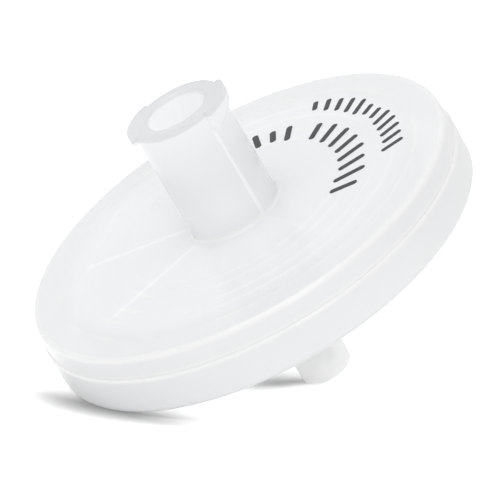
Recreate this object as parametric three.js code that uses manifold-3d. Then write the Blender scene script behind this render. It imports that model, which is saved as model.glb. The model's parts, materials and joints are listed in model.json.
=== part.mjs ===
// Syringe filter: a flat round housing with a female Luer lock inlet on one face and a
// male Luer slip outlet on the other, and a membrane clamped between its two welded halves.
//
// Millimetres and degrees.  The filter is drawn in its own frame, axis along +Z, with z = 0
// at the underside of the rim and the inlet pointing up.  The last group lays it down as it
// comes to rest on a table: on the edge of its rim and the end of its outlet.

import * as THREE from 'three';
import { mergeVertices } from 'three/addons/utils/BufferGeometryUtils.js';
import Module from 'manifold-3d';

const wasm = await Module();
wasm.setup();

// ---------------------------------------------------------------- driving dimensions

// Fits
const WELD_GAP = 0.05; // seam between the two halves
const MEMBRANE_PLAY = 0.05; // left on each face of the membrane
const MEMBRANE_EDGE_GAP = 0.12; // between the membrane's edge and its locating wall

// Membrane
const MEMBRANE_RADIUS = 13.7;
const MEMBRANE_THICKNESS = 0.25;
const SEAL_WIDTH = 1.25; // edge of the membrane that the halves clamp

// Walls round the membrane, from the inside out
const LOCATING_WALL = 0.73; // from the membrane's pocket to the groove
const TONGUE_WIDTH = 0.8;
const TONGUE_LENGTH = 0.9;
const RIM_WALL = 1.3; // outside the groove, carried by the outlet half
const RIM_FILLET = 0.4; // bottom edge of the band
const SEAM_FILLET = 0.25; // top edge of the band

// Outlet half: foot ring, plate and the grid that carries the membrane
const FOOT_WIDTH = 1.2; // ring left round the recessed underside
const FOOT_RECESS = 0.6; // how far the underside is recessed
const BASE_THICKNESS = 1.0; // plate under the grid
const GRID_HEIGHT = 0.65; // floor of the outlet half up to the membrane
const GRID_RING_WIDTH = 0.45;
const GRID_RING_COUNT = 5;
const GRID_HUB_RADIUS = 2.6; // innermost ring
const CHANNEL_WIDTH = 0.9; // radial drains cut through the rings
const CHANNEL_COUNT = 8;

// Inlet half: clamp ring, chamber, plate and the ribs that spread the flow
const CLAMP_DEPTH = 0.45; // how far the clamp ring reaches below the seam
const CHAMBER_HEIGHT = 0.8; // clamp ring up to the ceiling over the membrane
const COVER_THICKNESS = 1.25;
const COVER_STEP = 0.15; // how far the cover's wall is set in from the band
const COVER_DRAFT = 0.1; // how much the cover's wall leans in towards the top
const COVER_FILLET = 0.35; // top edge of the cover
const SPREADER_COUNT = 8;
const SPREADER_WIDTH = 0.4;
const SPREADER_HEIGHT = 0.45;
const SPREADER_START = 4.15; // radius where a rib begins
const SPREADER_END_GAP = 0.45; // from a rib's end to the clamp ring
const SPREADER_ANGLE = 4; // first rib, measured from the middle of a lug

// Inlet neck, a female Luer lock
const NECK_WALL = 1.18; // round the wide end of the socket
const NECK_HEIGHT = 9.2; // top face up to the mouth
const NECK_FILLET = 0.28;
const NECK_DRAFT = 0.13; // how much wider the neck is at its root than at the mouth
const NECK_PANEL = 0.12; // how far the panels between the lugs stand proud
const SOCKET_RADIUS = 2.15; // wide end of the Luer cone
const SOCKET_DEPTH = 8.0;
const BEVEL_WIDTH = 0.35; // slope from the mouth into the Luer cone
const BEVEL_DEPTH = 0.25;
const ORIFICE_RADIUS = 1.2;
const LUER_TAPER = 0.06; // change of diameter per length
const LUG_COUNT = 2;
const LUG_REACH = 0.56; // how far a lug stands out from the neck
const LUG_SPAN = 73; // degrees
const LUG_THIN = 0.62; // thickness at the leading end
const LUG_LEAD = 5.0; // rise of the thread in one turn

// Outlet, a male Luer slip
const OUTLET_TIP_RADIUS = 1.9625;
const OUTLET_LENGTH = 10.1; // underside of the rim down to the tip
const OUTLET_BORE = 1.05; // radius
const OUTLET_TIP_FILLET = 0.25;
const OUTLET_ROOT_FILLET = 0.8;

// Resting pose
const SPIN = -52.5; // turn about its own axis, with the middle of a rim facet lowest

// Facets
const TURN_STEPS = 72;
const FILLET_STEPS = 4;
const ARC_STEPS = 8; // facets along an arc of a flat outline
const EMBED = 0.2; // how far an added feature is sunk into its carrier
const WELD_TOLERANCE = 1e-5; // vertices closer than this are one
const HALVINGS = 60; // steps of the search for the resting lean

// ---------------------------------------------------------------- levels and radii

const FLOOR_Z = FOOT_RECESS + BASE_THICKNESS;
const SEAT_Z = FLOOR_Z + GRID_HEIGHT;
const MEMBRANE_Z = SEAT_Z + MEMBRANE_PLAY;
const CLAMP_Z = MEMBRANE_Z + MEMBRANE_THICKNESS + MEMBRANE_PLAY;
const COVER_BOTTOM_Z = CLAMP_Z + CLAMP_DEPTH;
const SEAM_Z = COVER_BOTTOM_Z - WELD_GAP;
const TONGUE_Z = COVER_BOTTOM_Z - TONGUE_LENGTH;
const CEILING_Z = CLAMP_Z + CHAMBER_HEIGHT;
const TOP_Z = CEILING_Z + COVER_THICKNESS;
const MOUTH_Z = TOP_Z + NECK_HEIGHT;
const TIP_Z = -OUTLET_LENGTH;

const CHAMBER_RADIUS = MEMBRANE_RADIUS - SEAL_WIDTH;
const LOCATING_RADIUS = MEMBRANE_RADIUS + MEMBRANE_EDGE_GAP;
const GROOVE_INNER = LOCATING_RADIUS + LOCATING_WALL;
const TONGUE_INNER = GROOVE_INNER + WELD_GAP;
const TONGUE_OUTER = TONGUE_INNER + TONGUE_WIDTH;
const GROOVE_OUTER = TONGUE_OUTER + WELD_GAP;
const RIM_RADIUS = GROOVE_OUTER + RIM_WALL;
const COVER_RADIUS = RIM_RADIUS - COVER_STEP;
const NECK_RADIUS = SOCKET_RADIUS + NECK_WALL;
const LUG_RADIUS = NECK_RADIUS + LUG_REACH;
const RADIAL_TAPER = LUER_TAPER / 2;

// ---------------------------------------------------------------- geometry helpers

const point = (r, z) => new THREE.Vector2(r, z);
const radians = THREE.MathUtils.degToRad;

/** Points of a round edge about (r, z), from one angle to another. */
function fillet(r, z, radius, from, to) {
  return Array.from({ length: FILLET_STEPS + 1 }, (_, i) => {
    const angle = radians(from + ((to - from) * i) / FILLET_STEPS);
    return point(r + radius * Math.cos(angle), z + radius * Math.sin(angle));
  });
}

/** Shared vertices only, with no triangle that has collapsed onto an edge. */
function welded(geometry) {
  const bare = geometry.clone();
  bare.deleteAttribute('normal');
  bare.deleteAttribute('uv');
  const merged = mergeVertices(bare, WELD_TOLERANCE);
  const index = Array.from(merged.index.array);
  const kept = [];
  for (let i = 0; i < index.length; i += 3) {
    const [a, b, c] = index.slice(i, i + 3);
    if (a !== b && b !== c && c !== a) kept.push(a, b, c);
  }
  merged.setIndex(kept);
  return merged;
}

function toSolid(geometry) {
  const mesh = welded(geometry);
  return new wasm.Manifold(new wasm.Mesh({
    numProp: 3,
    vertProperties: new Float32Array(mesh.attributes.position.array),
    triVerts: new Uint32Array(mesh.index.array),
  }));
}

function toGeometry(solid) {
  const mesh = solid.getMesh();
  const geometry = new THREE.BufferGeometry();
  geometry.setAttribute('position', new THREE.BufferAttribute(mesh.vertProperties, 3));
  geometry.setIndex(new THREE.BufferAttribute(mesh.triVerts, 1));
  geometry.computeVertexNormals();
  return geometry;
}

/** Solid of revolution about Z; the section runs anticlockwise and closes on itself. */
function revolve(section) {
  const lathe = new THREE.LatheGeometry([...section, section[0]], TURN_STEPS);
  return lathe.rotateX(Math.PI / 2);
}

/** Flat outline raised along Z from one level to another. */
function raise(outline, fromZ, toZ) {
  const settings = { depth: toZ - fromZ, bevelEnabled: false, curveSegments: ARC_STEPS };
  return new THREE.ExtrudeGeometry(outline, settings).translate(0, 0, fromZ);
}

/** Sector of a ring, centred on the X axis. */
function ringSector(inner, outer, span) {
  const half = radians(span / 2);
  const outline = new THREE.Shape();
  outline.absarc(0, 0, outer, -half, half, false);
  outline.absarc(0, 0, inner, half, -half, true);
  return outline;
}

/** Bar along the X axis with a round outer end. */
function radialBar(start, end, width) {
  const half = width / 2;
  const outline = new THREE.Shape();
  outline.moveTo(start, -half);
  outline.absarc(end - half, 0, half, -Math.PI / 2, Math.PI / 2, false);
  outline.lineTo(start, half);
  return outline;
}

/** The same solid repeated round the axis. */
function aroundAxis(geometry, count, firstAngle = 0) {
  return Array.from({ length: count }, (_, i) => {
    const angle = radians(firstAngle + (360 * i) / count);
    return toSolid(geometry.clone().rotateZ(angle));
  });
}

// ---------------------------------------------------------------- inlet half

function coverSection() {
  const topRadius = COVER_RADIUS - COVER_DRAFT;
  const socketTop = MOUTH_Z - BEVEL_DEPTH;
  const socketBottom = socketTop - SOCKET_DEPTH;
  const socketEnd = SOCKET_RADIUS - RADIAL_TAPER * SOCKET_DEPTH;
  const topEdge = fillet(topRadius - COVER_FILLET, TOP_Z - COVER_FILLET, COVER_FILLET, 0, 90);
  const rootCentre = NECK_RADIUS + NECK_DRAFT + NECK_FILLET;
  const neckRoot = fillet(rootCentre, TOP_Z + NECK_FILLET, NECK_FILLET, 270, 180);
  return [
    point(ORIFICE_RADIUS, CEILING_Z),
    point(CHAMBER_RADIUS, CEILING_Z),
    point(CHAMBER_RADIUS, CLAMP_Z),
    point(MEMBRANE_RADIUS, CLAMP_Z),
    point(MEMBRANE_RADIUS, COVER_BOTTOM_Z),
    point(TONGUE_INNER, COVER_BOTTOM_Z),
    point(TONGUE_INNER, TONGUE_Z),
    point(TONGUE_OUTER, TONGUE_Z),
    point(TONGUE_OUTER, COVER_BOTTOM_Z),
    point(COVER_RADIUS, COVER_BOTTOM_Z),
    ...topEdge,
    ...neckRoot,
    point(NECK_RADIUS, MOUTH_Z),
    point(SOCKET_RADIUS + BEVEL_WIDTH, MOUTH_Z),
    point(SOCKET_RADIUS, socketTop),
    point(socketEnd, socketBottom),
    point(ORIFICE_RADIUS, socketBottom),
  ];
}

/** Luer lock lug: its underside climbs as a right-handed thread would. */
function lugGeometry() {
  const outline = ringSector(NECK_RADIUS - EMBED, LUG_RADIUS, LUG_SPAN);
  const lug = raise(outline, MOUTH_Z - LUG_THIN, MOUTH_Z);
  const position = lug.attributes.position;
  for (let i = 0; i < position.count; i += 1) {
    if (position.getZ(i) > MOUTH_Z - LUG_THIN / 2) continue;
    const angle = THREE.MathUtils.radToDeg(Math.atan2(position.getY(i), position.getX(i)));
    const drop = (LUG_LEAD * (LUG_SPAN / 2 - angle)) / 360;
    position.setZ(i, position.getZ(i) - drop);
  }
  return lug;
}

/** Raised panel from one lug to the next, with the neck's draft. */
function panelGeometry() {
  const panelSpan = 360 / LUG_COUNT - LUG_SPAN;
  const outline = ringSector(NECK_RADIUS - EMBED, NECK_RADIUS + NECK_PANEL, panelSpan);
  const panel = raise(outline, TOP_Z - EMBED, MOUTH_Z);
  const position = panel.attributes.position;
  for (let i = 0; i < position.count; i += 1) {
    if (position.getZ(i) > TOP_Z) continue;
    const widening = 1 + NECK_DRAFT / Math.hypot(position.getX(i), position.getY(i));
    position.setXY(i, position.getX(i) * widening, position.getY(i) * widening);
  }
  return panel;
}

function inletHousing() {
  const ribEnd = CHAMBER_RADIUS - SPREADER_END_GAP;
  const ribOutline = radialBar(SPREADER_START, ribEnd, SPREADER_WIDTH);
  const rib = raise(ribOutline, CEILING_Z - SPREADER_HEIGHT, CEILING_Z + EMBED);
  const features = [
    ...aroundAxis(lugGeometry(), LUG_COUNT),
    ...aroundAxis(panelGeometry(), LUG_COUNT, 180 / LUG_COUNT),
    ...aroundAxis(rib, SPREADER_COUNT, SPREADER_ANGLE),
  ];
  const cover = toSolid(revolve(coverSection()));
  return toGeometry(features.reduce((sum, feature) => sum.add(feature), cover));
}

// ---------------------------------------------------------------- outlet half

/** Square-topped rings between the seal and the hub, listed from the outside inwards. */
function gridRings() {
  const pitch = (CHAMBER_RADIUS - GRID_HUB_RADIUS) / GRID_RING_COUNT;
  return Array.from({ length: GRID_RING_COUNT }, (_, i) => {
    const middle = CHAMBER_RADIUS - pitch * (i + 1);
    const outer = middle + GRID_RING_WIDTH / 2;
    const inner = middle - GRID_RING_WIDTH / 2;
    return [point(outer, FLOOR_Z), point(outer, SEAT_Z), point(inner, SEAT_Z), point(inner, FLOOR_Z)];
  }).flat();
}

function baseSection() {
  const footOuter = RIM_RADIUS - RIM_FILLET;
  const footInner = footOuter - FOOT_WIDTH;
  const rootLevel = FOOT_RECESS - OUTLET_ROOT_FILLET;
  const rootRadius = OUTLET_TIP_RADIUS + RADIAL_TAPER * (rootLevel - TIP_Z);
  const tipCentre = OUTLET_TIP_RADIUS - OUTLET_TIP_FILLET;
  const grooveZ = TONGUE_Z - WELD_GAP;
  return [
    point(OUTLET_BORE, TIP_Z),
    ...fillet(tipCentre, TIP_Z + OUTLET_TIP_FILLET, OUTLET_TIP_FILLET, 270, 360),
    ...fillet(rootRadius + OUTLET_ROOT_FILLET, rootLevel, OUTLET_ROOT_FILLET, 180, 90),
    point(footInner, FOOT_RECESS),
    point(footInner, 0),
    ...fillet(footOuter, RIM_FILLET, RIM_FILLET, 270, 360),
    ...fillet(RIM_RADIUS - SEAM_FILLET, SEAM_Z - SEAM_FILLET, SEAM_FILLET, 0, 90),
    point(GROOVE_OUTER, SEAM_Z),
    point(GROOVE_OUTER, grooveZ),
    point(GROOVE_INNER, grooveZ),
    point(GROOVE_INNER, SEAM_Z),
    point(LOCATING_RADIUS, SEAM_Z),
    point(LOCATING_RADIUS, SEAT_Z),
    point(CHAMBER_RADIUS, SEAT_Z),
    point(CHAMBER_RADIUS, FLOOR_Z),
    ...gridRings(),
    point(OUTLET_BORE, FLOOR_Z),
  ];
}

function outletHousing() {
  const channelOutline = radialBar(0, CHAMBER_RADIUS, CHANNEL_WIDTH);
  const channel = raise(channelOutline, FLOOR_Z, SEAT_Z + EMBED);
  const channels = aroundAxis(channel, CHANNEL_COUNT, SPREADER_ANGLE);
  const base = toSolid(revolve(baseSection()));
  return toGeometry(channels.reduce((rest, cut) => rest.subtract(cut), base));
}

// ---------------------------------------------------------------- membrane

function membraneDisc() {
  return toGeometry(toSolid(revolve([
    point(0, MEMBRANE_Z),
    point(MEMBRANE_RADIUS, MEMBRANE_Z),
    point(MEMBRANE_RADIUS, MEMBRANE_Z + MEMBRANE_THICKNESS),
    point(0, MEMBRANE_Z + MEMBRANE_THICKNESS),
  ])));
}

// ---------------------------------------------------------------- assembly

const polypropylene = new THREE.MeshStandardMaterial({
  name: 'clear_polypropylene',
  color: 0xf0f3f3,
  roughness: 0.22,
  metalness: 0,
  transparent: true,
  opacity: 0.75,
});
const cellulose = new THREE.MeshStandardMaterial({
  name: 'membrane_white',
  color: 0xf7f7f4,
  roughness: 0.85,
  metalness: 0,
});

function piece(name, geometry, material) {
  const mesh = new THREE.Mesh(geometry, material);
  mesh.name = name;
  return mesh;
}

/** Lean at which the edge of the rim and the end of the outlet meet the table together. */
function restingLean() {
  const edgeScale = Math.cos(Math.PI / TURN_STEPS); // middle of a facet, where the filter rests
  const height = (lean) => (corner) =>
    corner.y * Math.cos(lean) - corner.x * edgeScale * Math.sin(lean);
  const corners = baseSection();
  const rim = corners.filter((corner) => corner.y >= 0);
  const tip = corners.filter((corner) => corner.y < 0);
  let low = 0;
  let high = Math.PI / 2;
  for (let step = 0; step < HALVINGS; step += 1) {
    const lean = (low + high) / 2;
    const rimLowest = Math.min(...rim.map(height(lean)));
    const tipLowest = Math.min(...tip.map(height(lean)));
    if (tipLowest < rimLowest) low = lean;
    else high = lean;
  }
  return (low + high) / 2;
}

const filter = new THREE.Group();
filter.add(
  piece('outlet_housing', outletHousing(), polypropylene),
  piece('membrane', membraneDisc(), cellulose),
  piece('inlet_housing', inletHousing(), polypropylene),
);
filter.rotation.z = radians(SPIN);

const leaning = new THREE.Group();
leaning.rotation.y = -restingLean();
leaning.add(filter);

// On the table, with the origin under the middle of the filter.
const syringeFilter = new THREE.Group();
syringeFilter.add(leaning);
syringeFilter.updateMatrixWorld(true);
const reach = new THREE.Box3().setFromObject(syringeFilter, true);
const middle = reach.getCenter(new THREE.Vector3());
leaning.position.set(-middle.x, -middle.y, -reach.min.z);

export default syringeFilter;
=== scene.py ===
"""Looks for a syringe filter that lies on a table, on the edge of its rim and the end of its outlet.

The welded housing, the membrane and the printed marks are drawn in millimetres in the filter's own
frame: axis along +Z, z = 0 at the underside of the rim, inlet pointing up. A Pose then carries
the finished mesh to its place in the row frame, in metres.
"""

import json
import logging
import math
from dataclasses import dataclass, field
from enum import Enum
from typing import Any, Callable, Mapping, Optional, Sequence, Union

import bmesh
import bpy
from mathutils import Matrix, Vector, noise


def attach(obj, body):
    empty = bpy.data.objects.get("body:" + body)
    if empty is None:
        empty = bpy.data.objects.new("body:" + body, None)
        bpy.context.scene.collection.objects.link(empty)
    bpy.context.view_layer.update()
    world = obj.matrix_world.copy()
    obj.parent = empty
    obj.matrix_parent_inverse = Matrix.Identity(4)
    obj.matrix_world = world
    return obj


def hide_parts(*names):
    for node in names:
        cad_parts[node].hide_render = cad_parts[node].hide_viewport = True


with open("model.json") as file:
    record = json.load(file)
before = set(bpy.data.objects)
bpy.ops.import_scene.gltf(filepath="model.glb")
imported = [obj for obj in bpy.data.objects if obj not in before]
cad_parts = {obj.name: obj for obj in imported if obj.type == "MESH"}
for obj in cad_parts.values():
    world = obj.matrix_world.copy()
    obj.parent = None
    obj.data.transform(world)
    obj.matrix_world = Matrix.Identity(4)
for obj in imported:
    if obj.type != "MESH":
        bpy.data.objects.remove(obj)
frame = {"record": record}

log = logging.getLogger("syringe_filter")

MM = 0.001
TURN_STEPS = 288
SHARP_ANGLE = math.radians(30)
SUPPORT = 0.06
ON_AXIS = 1e-6
ROUND_STEPS = 9
END_SHARES = (0.0, 0.08, 0.29, 0.62, 1.0)
END_REACH = 1.6
MERGE_DISTANCE = 1e-4
SPIN = -52.5

Point = tuple[float, float]
Corner = tuple[float, float, float]
Colour = tuple[float, float, float]
Span = tuple[float, float]
Grain = tuple[float, ...]


class Join(Enum):
    """What happens to a solid where another one meets it."""

    ADD = "UNION"
    CUT = "DIFFERENCE"


# ---------------------------------------------------------------- shader graphs


@dataclass(frozen=True)
class Shade:
    """The value of a shader socket, with the arithmetic of a plain number."""

    graph: "ShaderGraph"
    socket: bpy.types.NodeSocket

    def _math(self, operation: str, first: "Number", second: "Number") -> "Shade":
        """One Math node on two numbers."""
        return self.graph.value("ShaderNodeMath", {"operation": operation}, {0: first, 1: second})

    def __add__(self, other: "Number") -> "Shade":
        """Sum."""
        return self._math("ADD", self, other)

    def __radd__(self, other: "Number") -> "Shade":
        """Sum, with the plain number first."""
        return self._math("ADD", other, self)

    def __sub__(self, other: "Number") -> "Shade":
        """Difference."""
        return self._math("SUBTRACT", self, other)

    def __rsub__(self, other: "Number") -> "Shade":
        """Difference, with the plain number first."""
        return self._math("SUBTRACT", other, self)

    def __mul__(self, other: "Number") -> "Shade":
        """Product."""
        return self._math("MULTIPLY", self, other)

    def __rmul__(self, other: "Number") -> "Shade":
        """Product, with the plain number first."""
        return self._math("MULTIPLY", other, self)

    def __truediv__(self, other: "Number") -> "Shade":
        """Quotient."""
        return self._math("DIVIDE", self, other)

    def __rtruediv__(self, other: "Number") -> "Shade":
        """Quotient, with the plain number first."""
        return self._math("DIVIDE", other, self)

    def clamped(self) -> "Shade":
        """The value held between 0 and 1."""
        return self.graph.value("ShaderNodeClamp", {}, {"Value": self})

    def absolute(self) -> "Shade":
        """The value without its sign."""
        return self._math("ABSOLUTE", self, 0.0)

    def root(self) -> "Shade":
        """The square root."""
        return self._math("SQRT", self, 0.0)

    def turn_from(self, along: "Number") -> "Shade":
        """The angle of a point that lies this far across and another value along."""
        return self._math("ARCTAN2", self, along)

    def folded(self, pitch: float) -> "Shade":
        """The value taken up and down again between 0 and a pitch."""
        return self._math("PINGPONG", self, pitch)

    def ramp(self, low: float, high: float) -> "Shade":
        """A smooth step from 0 at low to 1 at high."""
        settings = {"interpolation_type": "SMOOTHSTEP"}
        inputs = {"Value": self, "From Min": low, "From Max": high}
        return self.graph.value("ShaderNodeMapRange", settings, inputs)


Number = Union[float, Shade]


class ShaderGraph:
    """The node tree of one material or world, emptied and filled again."""

    def __init__(self, owner: Union[bpy.types.Material, bpy.types.World]) -> None:
        """Empties the owner's tree.

        Args:
            owner: the material or world whose nodes are made here.
        """
        owner.use_nodes = True
        self.tree = owner.node_tree
        self.tree.nodes.clear()

    def node(self, kind: str, settings: Mapping[str, Any], inputs: Mapping[Any, Any]) -> bpy.types.Node:
        """Adds one node.

        Args:
            kind: the node's type name.
            settings: its own properties, set first.
            inputs: a number, colour, Shade or socket for each socket, by name or index.

        Returns:
            The new node.
        """
        made = self.tree.nodes.new(kind)
        for name, value in settings.items():
            setattr(made, name, value)
        for name, value in inputs.items():
            socket = made.inputs[name]
            source = value.socket if isinstance(value, Shade) else value
            if isinstance(source, bpy.types.NodeSocket):
                self.tree.links.new(source, socket)
            else:
                socket.default_value = source
        return made

    def value(
        self, kind: str, settings: Mapping[str, Any], inputs: Mapping[Any, Any], output: Any = 0
    ) -> Shade:
        """Adds one node and wraps one of its outputs."""
        return Shade(self, self.node(kind, settings, inputs).outputs[output])

    def place(self, centre: Vector, turn: Sequence[float] = (0, 0, 0)) -> bpy.types.NodeSocket:
        """Object coordinates centred on a point of the piece, in millimetres.

        Args:
            centre: the point that becomes zero, in metres.
            turn: Euler angles that undo the piece's lean.

        Returns:
            The vector socket.
        """
        source = self.node("ShaderNodeTexCoord", {}, {}).outputs["Object"]
        moved = self.node("ShaderNodeVectorMath", {"operation": "SUBTRACT"}, {0: source, 1: centre})
        settings = {"vector_type": "POINT"}
        inputs = {"Vector": moved.outputs[0], "Rotation": turn, "Scale": (1 / MM,) * 3}
        return self.node("ShaderNodeMapping", settings, inputs).outputs[0]

    def seen(self) -> Shade:
        """1 for direct, mirrored and refracted views, and 0 for light that falls on a matt surface."""
        path = self.node("ShaderNodeLightPath", {}, {})
        kinds = ("Camera", "Glossy", "Transmission")
        return sum(Shade(self, path.outputs[f"Is {kind} Ray"]) for kind in kinds).clamped()

    def noise(
        self, vector: bpy.types.NodeSocket, scale: float, detail: float = 2.0, rough: float = 0.5
    ) -> Shade:
        """Plain noise between 0 and 1, with features of about 1 / scale millimetres."""
        inputs = {"Vector": vector, "Scale": scale, "Detail": detail, "Roughness": rough}
        return self.value("ShaderNodeTexNoise", {"normalize": True}, inputs)

    def blend(self, factor: Number, first: Any, second: Any) -> bpy.types.NodeSocket:
        """A colour between two others."""
        inputs = {0: factor, 6: first, 7: second}
        return self.node("ShaderNodeMix", {"data_type": "RGBA"}, inputs).outputs[2]

    def bump(
        self, height: Shade, strength: float, distance: float, below: Any = None
    ) -> bpy.types.NodeSocket:
        """The normal of a surface that a height raises.

        Args:
            height: the height, from 0 to 1.
            strength: how much of the relief shows.
            distance: the relief's full height, in metres.
            below: the normal of a coarser relief under it.

        Returns:
            The normal socket.
        """
        inputs = {"Height": height, "Strength": strength, "Distance": distance}
        if below is not None:
            inputs["Normal"] = below
        return self.node("ShaderNodeBump", {}, inputs).outputs[0]

    def finish(self, surface: bpy.types.NodeSocket, kind: str = "ShaderNodeOutputMaterial") -> None:
        """Ends the tree in its output node."""
        self.node(kind, {}, {"Surface": surface})


# ---------------------------------------------------------------- finishes


def grey(level: float) -> tuple[float, float, float, float]:
    """A neutral colour."""
    return (level, level, level, 1.0)


@dataclass(frozen=True)
class Polypropylene:
    """Natural polypropylene: see-through in thin walls, milky in thick ones, moulded smooth and glossy.

    The places are radii and levels of the filter's own frame, in millimetres, and a Span is where a
    tone begins and where it is full. The _white fields say how far each part goes from the thin tone
    to the thick one, and the _glow fields how much light comes through it. Heights are in metres.
    """

    name: str = "natural_polypropylene"
    thin: Colour = (0.958, 0.965, 0.98)
    thick: Colour = (0.965, 0.968, 0.975)
    # The near-white of the painted highlight lines.
    highlight_white: Colour = (1.0, 1.0, 1.0)
    # The grey of the painted shade on the mouth's lip.
    painted_lip_shade: Colour = (0.84, 0.845, 0.855)
    roughness: float = 0.3
    roughness_spread: float = 0.06
    index: float = 1.49
    gloss_roughness: float = 0.05
    gloss_index: float = 1.55
    band_gloss: float = 0.35
    window_glow: float = 0.04
    rim_glow: float = 0.1
    neck_glow: float = 0.6
    spout_glow: float = 0.5
    socket_glow: float = 1.15
    window: float = 0.9
    solid: float = 0.95
    neck_opacity: float = 0.92
    spout_opacity: float = 0.45
    rim_white: float = 0.6
    band_white: float = 0.8
    rib_white: float = 0.4
    neck_white: float = 0.6
    cloud_white: float = 0.3
    rim_radii: Span = (12.6, 14.2)
    band_radii: Span = (16.2, 16.6)
    neck_levels: Span = (4.7, 5.4)
    neck_lit: Span = (6.0, 12.0)
    underside: float = 0.3
    rib_half: float = 0.2
    rib_soft: float = 0.12
    rib_start: float = 4.2
    rib_end: float = 12.0
    rib_fade: float = 0.3
    rib_faint: float = 0.1
    clear_side: float = 206.0
    clear_span: Span = (0.45, 0.75)
    plate_low: float = 2.9
    plate_high: float = 4.7
    plate_fade: float = 0.05
    plate_face: Span = (4.6, 4.64)
    plate_above: Span = (5.0, 5.2)
    # The fields from here to ridges place painted light: highlight lines on the plate's top edge, the band's
    # edge, the panel edges and the neck's root, light inside the socket, the lip's shade, and reflections on
    # the rings.
    crest_radii: Span = (16.0, 16.2)
    crest_levels: Span = (4.25, 4.35)
    step_radii: Span = (16.1, 16.2)
    step_start: Span = (2.65, 2.75)
    step_end: Span = (3.2, 3.3)
    panel_edge: float = 36.5
    # These three place the painted highlight along the panel edges.
    glint_sides: Span = (0.09, 0.2)
    glint_radii: Span = (3.1, 3.2)
    glint_end: Span = (12.0, 12.4)
    socket_radii: Span = (2.25, 2.35)
    lip_levels: Span = (13.4, 13.55)
    lip_radii: Span = (2.2, 2.3)
    root_radius: float = 3.56
    root_sides: Span = (0.06, 0.14)
    ridges: tuple[float, ...] = (8.4, 9.6, 11.3, 12.6, 14.3)
    ridge_half: float = 0.3
    ridge_rise: float = 0.00002
    rib_rise: float = 0.00001
    cloud: Grain = (0.22, 3.0)
    cloud_relief: float = 0.35
    cloud_rise: float = 0.00006
    flow: Grain = (0.9, 4.0, 0.6)
    patches: Grain = (0.12, 1.0)
    patch_levels: Span = (0.45, 0.6)
    skin: Grain = (7.0, 3.0)
    skin_relief: float = 0.12
    skin_rise: float = 0.00002

    def _ribs(self, x: Shade, y: Shade, z: Shade, radius: Shade) -> Shade:
        """Where a rib lies behind the plate, from 0 to 1."""
        angle = y.turn_from(x) - math.radians(Stack.first_spoke)
        off = (angle + math.tau).folded(math.pi / Stack.spokes)
        line = 1 - (radius * off).ramp(self.rib_half - self.rib_soft, self.rib_half + self.rib_soft)
        start = radius.ramp(self.rib_start - self.rib_fade, self.rib_start)
        end = radius.ramp(self.rib_end, self.rib_end + self.rib_fade)
        above = z.ramp(self.plate_low - self.plate_fade, self.plate_low)
        past = z.ramp(self.plate_high, self.plate_high + self.plate_fade)
        # Away from clear_side the ribs fade out: painted, where a reflection on the plate would wash them
        # out.
        side = math.radians(self.clear_side)
        towards = (x * math.cos(side) + y * math.sin(side)) / radius
        fade = self.rib_faint + towards.ramp(*self.clear_span) * (1 - self.rib_faint)
        return line * start * (1 - end) * above * (1 - past) * fade

    def _panel_edge_glints(self, x: Shade, y: Shade, z: Shade, radius: Shade, neck: Shade) -> Shade:
        """Where a painted highlight runs along an edge of a raised panel up the neck, from 0 to 1."""
        fold = (y.turn_from(x) + math.tau).folded(math.pi / 2)
        aside = (fold - math.radians(self.panel_edge)).absolute() * radius
        beside = 1 - aside.ramp(*self.glint_sides)
        return beside * neck * radius.ramp(*self.glint_radii) * (1 - z.ramp(*self.glint_end))

    def material(self, centre: Vector, turn: Sequence[float]) -> bpy.types.Material:
        """The finish as a Blender material.

        Args:
            centre: where the filter's own frame starts, in metres.
            turn: Euler angles that stand the filter's axis upright.

        Returns:
            The material.
        """
        made = bpy.data.materials.new(self.name)
        graph = ShaderGraph(made)
        place = graph.place(centre, turn)
        cloud = graph.noise(place, *self.cloud)
        flow = graph.noise(place, *self.flow)
        parts = graph.node("ShaderNodeSeparateXYZ", {}, {0: place})
        x, y, z = (Shade(graph, socket) for socket in parts.outputs)
        radius = (x * x + y * y).root()

        ribs = self._ribs(x, y, z, radius)
        rim = radius.ramp(*self.rim_radii)
        band = radius.ramp(*self.band_radii)
        neck = z.ramp(*self.neck_levels)
        # The spout is painted near white below: a painted light that stands for the brightness of its thin,
        # see-through wall.
        spout = (self.underside - z).ramp(0.0, 1.0)
        panel_edge_glints = self._panel_edge_glints(x, y, z, radius, neck)
        # The socket's inside is painted bright: painted light that comes through the neck's wall.
        socket = (1 - radius.ramp(*self.socket_radii)) * z.ramp(*self.plate_above)
        plate = z.ramp(*self.plate_face) * (1 - z.ramp(*self.plate_above))
        # crest, step and root mark glint lines on round edges, painted below as highlights.
        crest = radius.ramp(*self.crest_radii) * z.ramp(*self.crest_levels)
        step = radius.ramp(*self.step_radii) * z.ramp(*self.step_start) * (1 - z.ramp(*self.step_end))
        root = (1 - (radius - self.root_radius).absolute().ramp(*self.root_sides)) * plate
        lip = z.ramp(*self.lip_levels) * radius.ramp(*self.lip_radii)
        # The plate's rings are a small real relief and are also painted lighter, broken by patches: painted
        # reflections.
        rings = sum(1 - (radius - ring).absolute().ramp(0.0, self.ridge_half) for ring in self.ridges)
        ridges = rings * plate
        patches = graph.noise(place, *self.patches).ramp(*self.patch_levels)

        white = rim * self.rim_white + band * (self.band_white - self.rim_white)
        # The ribs' lighter tone is partly their thicker plastic and partly a painted highlight.
        white = white + ribs * self.rib_white + neck * self.neck_white + spout
        white = (white + (cloud - 0.5) * self.cloud_white).clamped()
        # Painted highlights: glints on the crest, the step, the panel edges, the root and the rings, and the
        # painted light of the socket and the spout, all painted near white.
        painted_highlights = (crest + step + panel_edge_glints + socket + spout + root + ridges * patches).clamped()
        colour = graph.blend(white, (*self.thin, 1), (*self.thick, 1))
        colour = graph.blend(painted_highlights, colour, (*self.highlight_white, 1))
        # The lip of the mouth is painted grey: painted shade.
        colour = graph.blend(lip, colour, (*self.painted_lip_shade, 1))

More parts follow.
